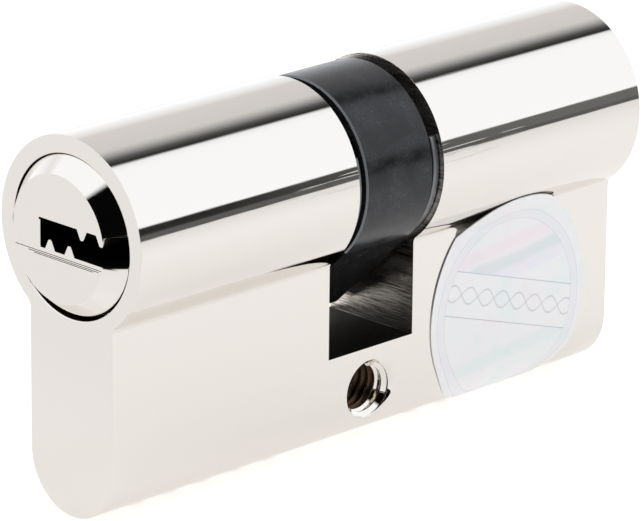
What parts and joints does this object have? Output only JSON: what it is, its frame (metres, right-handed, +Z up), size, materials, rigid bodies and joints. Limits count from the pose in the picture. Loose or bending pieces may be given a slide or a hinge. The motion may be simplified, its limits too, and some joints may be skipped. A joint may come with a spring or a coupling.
{
  "type": "euro cylinder",
  "caption": "Double euro-profile lock cylinder: nickel-plated housing with a bridge and screw hole, two plugs with side-open dimple keyways, pin stacks, clutch and black cam.",
  "frame": {"origin": "centre of the M5 fixing screw hole, in the middle of the stem's thickness and under the middle of the cam", "axes": "+X along the cylinder towards the half with the label, -Y out of the flank with the label, +Z up from the stem to the round part; the plugs turn about a line along X at z = 19.5 mm"},
  "size_m": [0.0628, 0.017, 0.033],
  "materials": {
    "nickel_plated_brass": "polished nickel plating on brass",
    "black_sintered_steel": "black oxidised sintered steel, satin",
    "spring_steel": "bright drawn",
    "hardened_steel": "ground, dark",
    "turned_brass": "turned",
    "hologram_foil": "iridescent translucent film"
  },
  "bodies": {
    "housing": {"housing": "nickel_plated_brass", "security_label": "hologram_foil", "housing_guard_pin_left": "hardened_steel", "housing_guard_pin_right": "hardened_steel", "chamber_stopper_left_1": "turned_brass", "chamber_stopper_left_2": "turned_brass", "chamber_stopper_left_3": "turned_brass", "chamber_stopper_left_4": "turned_brass", "chamber_stopper_left_5": "turned_brass", "chamber_stopper_right_1": "turned_brass", "chamber_stopper_right_2": "turned_brass", "chamber_stopper_right_3": "turned_brass", "chamber_stopper_right_4": "turned_brass", "chamber_stopper_right_5": "turned_brass", "pin_spring_left_1": "spring_steel", "pin_spring_left_2": "spring_steel", "pin_spring_left_3": "spring_steel", "pin_spring_left_4": "spring_steel", "pin_spring_left_5": "spring_steel", "pin_spring_right_1": "spring_steel", "pin_spring_right_2": "spring_steel", "pin_spring_right_3": "spring_steel", "pin_spring_right_4": "spring_steel", "pin_spring_right_5": "spring_steel"},
    "plug_left": {"plug_left": "nickel_plated_brass", "circlip_left": "spring_steel", "plug_guard_pin_left_upper": "hardened_steel", "plug_guard_pin_left_lower": "hardened_steel"},
    "plug_right": {"plug_right": "nickel_plated_brass", "circlip_right": "spring_steel", "plug_guard_pin_right_upper": "hardened_steel", "plug_guard_pin_right_lower": "hardened_steel"},
    "cam": {"cam": "black_sintered_steel"},
    "clutch_left": {"coupler_left": "hardened_steel", "clutch_shaft": "hardened_steel"},
    "clutch_right": {"coupler_right": "hardened_steel"},
    "key_pin_left_1": {"key_pin_left_1": "turned_brass"},
    "driver_pin_left_1": {"driver_pin_left_1": "spring_steel"},
    "key_pin_left_2": {"key_pin_left_2": "turned_brass"},
    "driver_pin_left_2": {"driver_pin_left_2": "spring_steel"},
    "key_pin_left_3": {"key_pin_left_3": "turned_brass"},
    "driver_pin_left_3": {"driver_pin_left_3": "spring_steel"},
    "key_pin_left_4": {"key_pin_left_4": "turned_brass"},
    "driver_pin_left_4": {"driver_pin_left_4": "spring_steel"},
    "key_pin_left_5": {"key_pin_left_5": "turned_brass"},
    "driver_pin_left_5": {"driver_pin_left_5": "spring_steel"},
    "key_pin_right_1": {"key_pin_right_1": "turned_brass"},
    "driver_pin_right_1": {"driver_pin_right_1": "spring_steel"},
    "key_pin_right_2": {"key_pin_right_2": "turned_brass"},
    "driver_pin_right_2": {"driver_pin_right_2": "spring_steel"},
    "key_pin_right_3": {"key_pin_right_3": "turned_brass"},
    "driver_pin_right_3": {"driver_pin_right_3": "spring_steel"},
    "key_pin_right_4": {"key_pin_right_4": "turned_brass"},
    "driver_pin_right_4": {"driver_pin_right_4": "spring_steel"},
    "key_pin_right_5": {"key_pin_right_5": "turned_brass"},
    "driver_pin_right_5": {"driver_pin_right_5": "spring_steel"}
  },
  "joints": [
    {"name": "plug_left_turn", "type": "hinge", "parent": "housing", "child": "plug_left", "pos_m": [0, 0, 0.0195], "axis": [1, 0, 0], "continuous": true},
    {"name": "plug_right_turn", "type": "hinge", "parent": "housing", "child": "plug_right", "pos_m": [0, 0, 0.0195], "axis": [1, 0, 0], "continuous": true},
    {"name": "cam_turn", "type": "hinge", "parent": "housing", "child": "cam", "pos_m": [0, 0, 0.0195], "axis": [1, 0, 0], "continuous": true},
    {"name": "clutch_left_shift", "type": "slide", "parent": "plug_left", "child": "clutch_left", "axis": [-1, 0, 0], "range_m": [0, 0.0011]},
    {"name": "clutch_right_shift", "type": "slide", "parent": "plug_right", "child": "clutch_right", "axis": [-1, 0, 0], "range_m": [0, 0.0011]},
    {"name": "key_pin_left_1_lift", "type": "slide", "parent": "plug_left", "child": "key_pin_left_1", "axis": [0, 0, 1], "range_m": [0, 0.00125]},
    {"name": "key_pin_left_2_lift", "type": "slide", "parent": "plug_left", "child": "key_pin_left_2", "axis": [0, 0, 1], "range_m": [0, 0.0006]},
    {"name": "key_pin_left_3_lift", "type": "slide", "parent": "plug_left", "child": "key_pin_left_3", "axis": [0, 0, 1], "range_m": [0, 0.00095]},
    {"name": "key_pin_left_4_lift", "type": "slide", "parent": "plug_left", "child": "key_pin_left_4", "axis": [0, 0, 1], "range_m": [0, 0.00035]},
    {"name": "key_pin_left_5_lift", "type": "slide", "parent": "plug_left", "child": "key_pin_left_5", "axis": [0, 0, 1], "range_m": [0, 0.0011]},
    {"name": "driver_pin_left_1_press", "type": "slide", "parent": "housing", "child": "driver_pin_left_1", "axis": [0, 0, -1], "range_m": [0, 0.0012], "stiffness_N_per_m": 150, "springref_m": -0.003, "deforming": ["pin_spring_left_1"]},
    {"name": "driver_pin_left_2_press", "type": "slide", "parent": "housing", "child": "driver_pin_left_2", "axis": [0, 0, -1], "range_m": [0, 0.0012], "stiffness_N_per_m": 150, "springref_m": -0.003, "deforming": ["pin_spring_left_2"]},
    {"name": "driver_pin_left_3_press", "type": "slide", "parent": "housing", "child": "driver_pin_left_3", "axis": [0, 0, -1], "range_m": [0, 0.0012], "stiffness_N_per_m": 150, "springref_m": -0.003, "deforming": ["pin_spring_left_3"]},
    {"name": "driver_pin_left_4_press", "type": "slide", "parent": "housing", "child": "driver_pin_left_4", "axis": [0, 0, -1], "range_m": [0, 0.0012], "stiffness_N_per_m": 150, "springref_m": -0.003, "deforming": ["pin_spring_left_4"]},
    {"name": "driver_pin_left_5_press", "type": "slide", "parent": "housing", "child": "driver_pin_left_5", "axis": [0, 0, -1], "range_m": [0, 0.0012], "stiffness_N_per_m": 150, "springref_m": -0.003, "deforming": ["pin_spring_left_5"]},
    {"name": "key_pin_right_1_lift", "type": "slide", "parent": "plug_right", "child": "key_pin_right_1", "axis": [0, 0, 1], "range_m": [0, 0.00125]},
    {"name": "key_pin_right_2_lift", "type": "slide", "parent": "plug_right", "child": "key_pin_right_2", "axis": [0, 0, 1], "range_m": [0, 0.0006]},
    {"name": "key_pin_right_3_lift", "type": "slide", "parent": "plug_right", "child": "key_pin_right_3", "axis": [0, 0, 1], "range_m": [0, 0.00095]},
    {"name": "key_pin_right_4_lift", "type": "slide", "parent": "plug_right", "child": "key_pin_right_4", "axis": [0, 0, 1], "range_m": [0, 0.00035]},
    {"name": "key_pin_right_5_lift", "type": "slide", "parent": "plug_right", "child": "key_pin_right_5", "axis": [0, 0, 1], "range_m": [0, 0.0011]},
    {"name": "driver_pin_right_1_press", "type": "slide", "parent": "housing", "child": "driver_pin_right_1", "axis": [0, 0, -1], "range_m": [0, 0.0012], "stiffness_N_per_m": 150, "springref_m": -0.003, "deforming": ["pin_spring_right_1"]},
    {"name": "driver_pin_right_2_press", "type": "slide", "parent": "housing", "child": "driver_pin_right_2", "axis": [0, 0, -1], "range_m": [0, 0.0012], "stiffness_N_per_m": 150, "springref_m": -0.003, "deforming": ["pin_spring_right_2"]},
    {"name": "driver_pin_right_3_press", "type": "slide", "parent": "housing", "child": "driver_pin_right_3", "axis": [0, 0, -1], "range_m": [0, 0.0012], "stiffness_N_per_m": 150, "springref_m": -0.003, "deforming": ["pin_spring_right_3"]},
    {"name": "driver_pin_right_4_press", "type": "slide", "parent": "housing", "child": "driver_pin_right_4", "axis": [0, 0, -1], "range_m": [0, 0.0012], "stiffness_N_per_m": 150, "springref_m": -0.003, "deforming": ["pin_spring_right_4"]},
    {"name": "driver_pin_right_5_press", "type": "slide", "parent": "housing", "child": "driver_pin_right_5", "axis": [0, 0, -1], "range_m": [0, 0.0012], "stiffness_N_per_m": 150, "springref_m": -0.003, "deforming": ["pin_spring_right_5"]}
  ],
  "couplings": [
    {"joint": "cam_turn", "follows": "plug_left_turn", "ratio": 1},
    {"joint": "clutch_right_shift", "follows": "clutch_left_shift", "ratio": 1}
  ]
}
